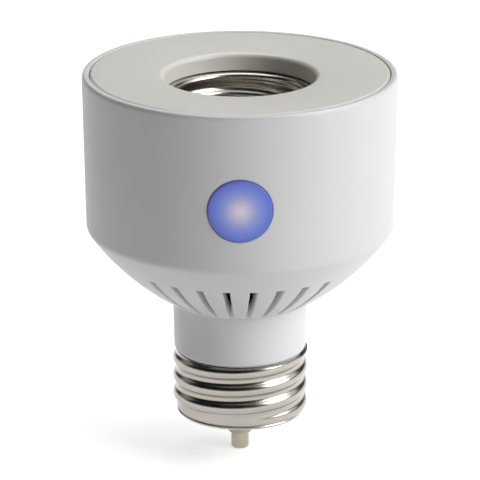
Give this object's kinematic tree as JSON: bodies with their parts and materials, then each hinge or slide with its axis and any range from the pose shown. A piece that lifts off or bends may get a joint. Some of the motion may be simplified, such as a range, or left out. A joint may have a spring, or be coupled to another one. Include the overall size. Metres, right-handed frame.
{
  "type": "lamp_socket_adapter",
  "caption": "Screw-in lamp socket adapter: a cup-shaped housing with a push button between a screw base and a lamp socket, with vents under its bowl.",
  "frame": {"origin": "tip of the screw base's centre contact, on the part's axis", "axes": "+Z runs from the screw base to the lamp socket, the push button looks along -Y, and +X is to the right of someone who faces the button"},
  "size_m": [0.0604, 0.0604, 0.0769],
  "materials": {
    "housing_plastic": "moulded ABS with a fine satin surface",
    "cover_plastic": "moulded ABS, satin, faintly warm",
    "neck_plastic": "moulded ABS, satin",
    "insulator_plastic": "pale thermoset, matt",
    "socket_plastic": "white heat-proof thermoset, matt",
    "nickel_sheet": "bright nickel on rolled brass sheet",
    "contact_metal": "tinned contact, satin",
    "spring_brass": "half-hard brass, satin",
    "button_plastic": "tinted translucent cap, polished",
    "switch_plastic": "black moulded switch case",
    "plunger_plastic": "cream moulded plunger",
    "board_laminate": "glass laminate under green solder mask",
    "black_package": "black epoxy and nylon packages",
    "lamp_lens": "clear lens over a pale chip",
    "film_case": "amber capacitor case",
    "can_sleeve": "dark blue heat-shrunk sleeve",
    "ferrite": "pressed ferrite",
    "disc_coating": "dipped blue epoxy",
    "fuse_body": "brown lacquered body",
    "shield_metal": "drawn tin-plated shield",
    "screw_steel": "zinc-plated steel",
    "line_insulation": "black PVC insulation",
    "neutral_insulation": "white PVC insulation"
  },
  "bodies": {
    "root": {"housing": "housing_plastic", "top_cover": "cover_plastic", "neck": "neck_plastic", "base_screw_shell": "nickel_sheet", "base_insulator": "insulator_plastic", "base_contact": "contact_metal", "socket_insulator": "socket_plastic", "socket_screw_shell": "nickel_sheet", "contact_leaf": "spring_brass", "contact_rivet": "spring_brass", "shell_terminal": "spring_brass", "tact_switch": "switch_plastic", "button_leds": "lamp_lens", "button_board": "board_laminate", "board_header": "black_package", "control_chip": "black_package", "main_board": "board_laminate", "relay": "black_package", "film_capacitor": "film_case", "rectifier": "black_package", "smoothing_capacitor": "can_sleeve", "choke": "ferrite", "varistor": "disc_coating", "fuse": "fuse_body", "receiver_module": "shield_metal", "board_screws": "screw_steel", "neck_screws": "screw_steel", "line_lead": "line_insulation", "neutral_lead": "neutral_insulation"},
    "button": {"button_cap": "button_plastic", "tact_plunger": "plunger_plastic"},
    "contact": {"contact_nub": "spring_brass"}
  },
  "joints": [
    {"name": "button_press", "type": "slide", "parent": "root", "child": "button", "axis": [0, 1, 0], "range_m": [0, 0.0007], "stiffness_N_per_m": 2900},
    {"name": "contact_press", "type": "slide", "parent": "root", "child": "contact", "axis": [0, 0, -1], "range_m": [0, 0.0012], "stiffness_N_per_m": 5000, "deforming": ["contact_leaf"]}
  ]
}
